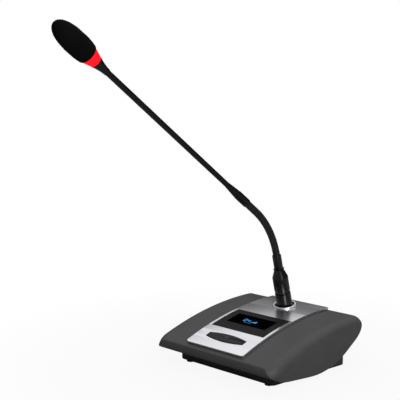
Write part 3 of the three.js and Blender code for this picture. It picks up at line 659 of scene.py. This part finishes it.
bezel = arch_strip("display_frame", display[0], display[1], display[2], plate_rise,
                   plate_rise - gap)
carved(bezel, arch_strip("opening", screen[0] - gap, screen[1] + gap, screen[2] + gap,
                         plate_rise + 5, 15))
softened(bezel, 0.3, 40)
dress(bezel, bezel_black, "bezel_black", "base", "display_bezel")

pane = arch_strip("display_pane", screen[0], screen[1], screen[2], plate_rise - 0.3, 1.4)
softened(pane, 0.15, 40, 2)
dress(pane, screen_glass, "screen_glass", "base", "display_window")

# %% [markdown]
# ## What the screen shows, and the talk button
# The photo's screen has one small blue mark. It is left out, and a plain number and a row of
# level bars take its place, as lit segments just over the pane. The button is one rubbery
# lens-shaped cap with a slightly domed top and a faint ring of three arcs in its middle.

# %% Lit symbols
display_y = (screen[0] + screen[1]) / 2


def flat_pieces(name, outlines, y, low, high, material, slot_name, body):
    """Thin raised shapes on the plate's frame at y; outlines are four-cornered, [x, along]."""
    corners = np.array(outlines, float)
    vertices = np.concatenate([np.insert(corners, 2, level, axis=2) for level in (low, high)], 1)
    cube = np.array([(0, 3, 2, 1), (4, 5, 6, 7), (0, 1, 5, 4), (1, 2, 6, 5), (2, 3, 7, 6),
                     (3, 0, 4, 7)])
    faces = (cube[None] + 8 * np.arange(len(corners))[:, None, None]).reshape(-1, 4)
    raised = piece_from(name, on_arch(vertices.reshape(-1, 3), y), faces.tolist(), 30)
    return dress(raised, material, slot_name, body)


def bar(x, y, width, height):
    return [(x - width / 2, y - height / 2), (x + width / 2, y - height / 2),
            (x + width / 2, y + height / 2), (x - width / 2, y + height / 2)]


def digit(x, lit, width=3.4, height=5.6, stroke=0.7):
    """Seven-segment figure about x: which of top, middle, low, upper/lower left/right are lit."""
    rows = {"t": height / 2, "m": 0, "b": -height / 2}
    bars = [bar(x, rows[k], width - stroke, stroke) for k in "tmb" if k in lit]
    for key, side, level in (("L", -1, 1), ("R", 1, 1), ("l", -1, -1), ("r", 1, -1)):
        if key in lit:
            bars.append(bar(x + side * width / 2, level * height / 4, stroke,
                            height / 2 - stroke))
    return bars


symbols = digit(-9.6, "tbLRlr") + digit(-4.4, "mLRr")
symbols += [bar(0.4 + 1.7 * i, -2.2 + 0.4 * i, 0.8, 1.0 + 0.8 * i) for i in range(5)]
symbols += [bar(-6.8 + 1.5 * i, -5.6, 0.9, 0.4) for i in range(7)]
flat_pieces("screen_symbols", symbols, display_y, -0.285, -0.2, symbol_blue, None, "base")

# %% Talk button
button_profile = [(0, -5.0), (0, 0.2), (-0.12, 0.5), (-0.4, 0.7), (-0.8, 0.8), (-2.0, 0.9),
                  (-2.9, 0.94)]
button_grid = stacked(lens(0), button_profile)
button = grid("talk_button_cap", on_arch(button_grid, button_y).reshape(button_grid.shape),
              smooth_angle=45)
dress(button, button_black, "button_black", "talk_button", "talk_button")


def arc_tiles(radius, start, stop, width, count):
    """Short four-cornered tiles along a circular arc, [x, along]."""
    turn = np.radians(np.linspace(start, stop, count + 1))
    inner = (radius - width / 2) * np.stack([np.cos(turn), np.sin(turn)], -1)
    outer = (radius + width / 2) * np.stack([np.cos(turn), np.sin(turn)], -1)
    return np.stack([inner[:-1], outer[:-1], outer[1:], inner[1:]], 1)


marks = np.concatenate([arc_tiles(0.6, 0, 360, 0.6, 12), arc_tiles(1.9, 30, 150, 0.4, 8),
                        arc_tiles(3.1, 30, 150, 0.4, 10)])
flat_pieces("talk_button_mark", marks, button_y, 0.85, 0.955, bezel_mark, None,
            "talk_button")

# %% [markdown]
# ## Stem
# A chrome ring trims the hole in the plate. The plug stands in it: a ring that locks it, a barrel
# and a polished cone, all turned pieces with small round corners. Above the collar the stem is a
# wound steel tube, then a tapered sleeve, then a thin plain tube up to the head.

# %% Ring, plug and collar
ring_profile = eased([(12.4, -6.5), (12.4, 0), (14, 0), (14, -6.5)], 0.8, 6)
trim_ring = turned("chrome_ring", ring_profile[::-1], ring_origin, ring_axis, 96)


def plug_piece(name, profile, radius=0.8, **rest):
    """A closed turned piece on the plug's axis with its corners eased."""
    return turned(name, eased(profile, radius), plug_origin, plug_axis, **rest)


def hollow(outside, bore, low, high, radius=0.7):
    """Profile of a tube: an eased outside, then straight down its bore."""
    return np.vstack([eased([(bore, low)] + outside + [(bore, high)], radius)])


lock_ring_radius, lock_ring_length = 9.7, 15.4
neck_radius, neck_top, plug_foot = 8.25, 18.4, -20
barrel_radius, collar_radius = 9.65, 5.5
barrel_top, cone_top = neck_top + 18.1, neck_top + 29.1
lock_ring = turned("lock_ring_body", hollow(
    [(lock_ring_radius, 0), (lock_ring_radius, lock_ring_length)],
    8.55, 0, lock_ring_length), plug_origin, plug_axis, loop=True)
shell = turned("plug_barrel", hollow(
    [(neck_radius, plug_foot), (neck_radius, neck_top), (barrel_radius, neck_top),
     (barrel_radius, barrel_top), (collar_radius, cone_top)],
    6.75, plug_foot, cone_top), plug_origin, plug_axis)
collar = plug_piece("gooseneck_collar", [(2.2, cone_top), (collar_radius, cone_top),
                                         (collar_radius, collar_top), (4.7, collar_top)])

dress(trim_ring, chrome_trim, "chrome_trim", "base", "socket_trim_ring")
dress(lock_ring, plug_black, "plug_black", "lock_ring", "lock_ring")
dress(shell, plug_black, "plug_black", "plug", "plug_shell")
dress(collar, plug_black, "plug_black", "plug", "gland_collar")

# %% [markdown]
# The wound tube bends on nine hinges. Its skin is made in nine lengths in the tube's resting
# shape, each centred on one hinge and hiding the CAD link it stands for; a length runs from
# the middle of one link to the middle of the next. Its radius rises and falls once per turn of
# the winding, a cosine of the distance along the tube; the windings are rings rather than one
# helix, which the eye can't tell apart at a pitch of a millimetre and a half.

# %% Wound tube
bend_from = math.asin(-plug_axis[1])
bend_to = math.asin(-head_axis[1])
bend_radius = bend_length / (bend_to - bend_from)
stem_start = plug_origin + collar_top * plug_axis


def stem_place(s):
    """Places on the stem and its directions there, s millimetres past the collar.

    An arc of radius bend_radius up to bend_length, then straight on.
    """
    s = np.asarray(s, float)
    turn = bend_from + np.clip(s / bend_length, 0, 1) * (bend_to - bend_from)
    ahead = np.where(s < 0, s, np.maximum(s - bend_length, 0))
    y = stem_start[1] - bend_radius * (np.cos(bend_from) - np.cos(turn)) - ahead * np.sin(turn)
    z = stem_start[2] + bend_radius * (np.sin(turn) - np.sin(bend_from)) + ahead * np.cos(turn)
    way = np.stack([0 * turn, -np.sin(turn), np.cos(turn)], -1)
    return np.stack([0 * y, y, z], -1), way


def tube_skin(name, s, radius, columns=40):
    """A tube round the stem: radius against distance, its rings square to the stem."""
    place, way = stem_place(s)
    across = np.array([1.0, 0, 0])
    upward = np.cross(way, across)
    turn = np.linspace(0, 2 * np.pi, columns, endpoint=False)
    ring = (np.cos(turn)[None, :, None] * across
            + np.sin(turn)[None, :, None] * upward[:, None, :])
    return grid(name, place[:, None] + np.asarray(radius)[:, None, None] * ring,
                smooth_angle=60)


hinge_count, windings = 9, 7
skin_length = flexible_length / hinge_count
links = ["gooseneck_root"] + [f"gooseneck_link_{i}" for i in range(1, hinge_count)]
for k in range(hinge_count):
    s = np.linspace(k, k + 1, windings * 8 + 1) * skin_length
    ribs = 4.3 + 0.1 * np.cos(2 * np.pi * windings * s / skin_length)
    skin = tube_skin(f"gooseneck_skin_{k + 1}", s, ribs)
    dress(skin, gooseneck_black, "gooseneck_black", None, links[k],
          *(["gooseneck_tip"] if k == hinge_count - 1 else []))
    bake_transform(skin)

# %% Sleeve, thin tube and the head's housing
head_origin, head_way = (v[0] for v in stem_place([stem_length]))
sleeve_origin, sleeve_way = (v[0] for v in stem_place([flexible_length]))
sleeve_full, sleeve_taper = 17.4, 23.0
sleeve_radius, sleeve_end, tube_radius = 5.1, 3.3, 3.1
u = np.linspace(0, 1, 16)
taper = np.stack([sleeve_end + (sleeve_radius - sleeve_end) * (1 - u),
                  sleeve_full + sleeve_taper * u], -1)
sleeve_profile = np.vstack([eased([(4.5, -0.3), (sleeve_radius, -0.3),
                                   (sleeve_radius, sleeve_full)], 0.5)[:-1],
                            taper, [(3.15, sleeve_full + sleeve_taper)]])
sleeve = turned("tapered_sleeve", sleeve_profile, sleeve_origin, sleeve_way)
tube_profile = [(tube_radius, 14.5), (tube_radius, stem_length - flexible_length - 4)]
tube = turned("thin_tube", tube_profile, sleeve_origin, sleeve_way, 48)

flare_length, flare_radius, led_length, led_radius = 17.0, 6.6, 11.0, 9.4
u = np.linspace(0, 1, 24)
flare = np.stack([3.6 + (flare_radius - 3.6) * u ** 1.6, -flare_length * (1 - u)], -1)
housing_profile = np.vstack([[(3.15, -flare_length)], flare,
                             eased([(flare_radius, 0), (4.2, 0), (4.2, 14)], 0.3)[1:]])
housing = turned("flared_housing", housing_profile, head_origin, head_way)
for obj, name in ((sleeve, "coupling_sleeve"), (tube, "upper_tube"), (housing, "mic_housing")):
    dress(obj, tube_black, "tube_black", "stem", name)

# %% [markdown]
# ## Head
# The light ring is a cone of red clear plastic, lit from inside, with a softly rounded rim. Over
# a perforated basket goes the windscreen: open-cell foam, widest nearer its lower end and slightly
# uneven, because foam is cut and stretched rather than moulded. It is a piece of its own that
# pulls off, and its cells are relief in the finish over a gently bumpy surface.

# %% Light ring
ring_outside = eased([(4.5, 0.3), (flare_radius, 0.3), (led_radius, 10.2), (led_radius, led_length),
                      (6.3, led_length), (6.3, 7.6), (4.5, 7.6)], 0.5, 6)
light = turned("light_ring_lens", ring_outside, head_origin, head_way, 96, loop=True)
dress(light, light_red, "light_red", "stem", "light_ring")

# %% Basket: a tube with a domed end, its holes as pits between rings and ribs
head_low, basket_radius = 11.3, 7.2
basket_shoulder, basket_dome = 33, 7     # where the dome starts, and its height
rows, columns = 97, 96
s = np.linspace(0, 1, rows)
height = np.concatenate([np.linspace(head_low, basket_shoulder, 73), basket_shoulder
                         + basket_dome * np.sin(np.linspace(0, np.pi / 2, 25))[1:]])
over = np.clip((height - basket_shoulder) / basket_dome, 0, None)
radius = basket_radius * np.sqrt(np.clip(1 - over ** 2, 0, 1))
turn = np.linspace(0, 2 * np.pi, columns, endpoint=False)
pits = np.clip(np.sin(2 * np.pi * height / 2.4)[:, None] * np.cos(20 * turn)[None], 0.15, 0.6)
depth = np.where((height > 14) & (height < 37), 0.7, 0.0)[:, None] * (pits - 0.15)
across, upward = side_axes(head_way)
ring = np.cos(turn)[:, None] * across + np.sin(turn)[:, None] * upward
points = (head_origin + height[:, None, None] * head_way
          + (np.maximum(radius, 0.02)[:, None] - depth * (radius[:, None] > 1))[..., None] * ring)
basket = grid("grille_basket_mesh", points)
dress(basket, basket_black, "basket_black", "stem", "grille_basket")

# %% Foam windscreen
foam_length, foam_radius, widest = 47.6, 11.95, 0.34


def foam_outline(t):
    """Radius of the foam at t of its length: a quick cubic rise, then a blunt rounded end."""
    start = (led_radius + 0.9) / foam_radius
    rise = 1 - (1 - start) * (1 - np.clip(t / widest, 0, 1)) ** 3
    past = np.clip((t - widest) / (1 - widest), 0, 1)
    return foam_radius * np.where(t < widest, rise, np.sqrt(np.clip(1 - past ** 2.6, 0, 1)))


outside_t = 1 - (1 - np.linspace(0, 1, 90)) ** 1.6
outside = np.stack([np.maximum(foam_outline(outside_t), 0.02),
                    head_low + foam_length * outside_t], -1)
pocket_turn = np.linspace(np.pi / 2, 0, 16)
pocket = np.stack([np.maximum(7.5 * np.cos(pocket_turn), 0.02),
                   33.5 + 7.3 * np.sin(pocket_turn)], -1)
foam_profile = np.vstack([[(8.9, head_low)], outside[1:], pocket, [(7.5, head_low + 0.4)],
                          [(7.9, head_low)]])
turn = np.linspace(0, 2 * np.pi, 128, endpoint=False)
r, h = foam_profile.T
ring = np.cos(turn)[:, None] * across + np.sin(turn)[:, None] * upward
wobble = 0.05 * np.sin(3 * turn[None] + 0.35 * h[:, None]) + 0.04 * np.sin(
    7 * turn[None] - 0.6 * h[:, None])
loose = ((r > 7.9) & (h > head_low + 3)).astype(float)[:, None]
points = (head_origin + h[:, None, None] * head_way
          + (r[:, None] - loose * (0.08 + wobble))[..., None] * ring)
foam = grid("foam_windscreen", points, wrap_rows=True, smooth_angle=60)
dress(foam, foam_black, "foam_black", "windscreen", "windscreen")
print("windscreen:", len(foam.data.polygons), "faces")
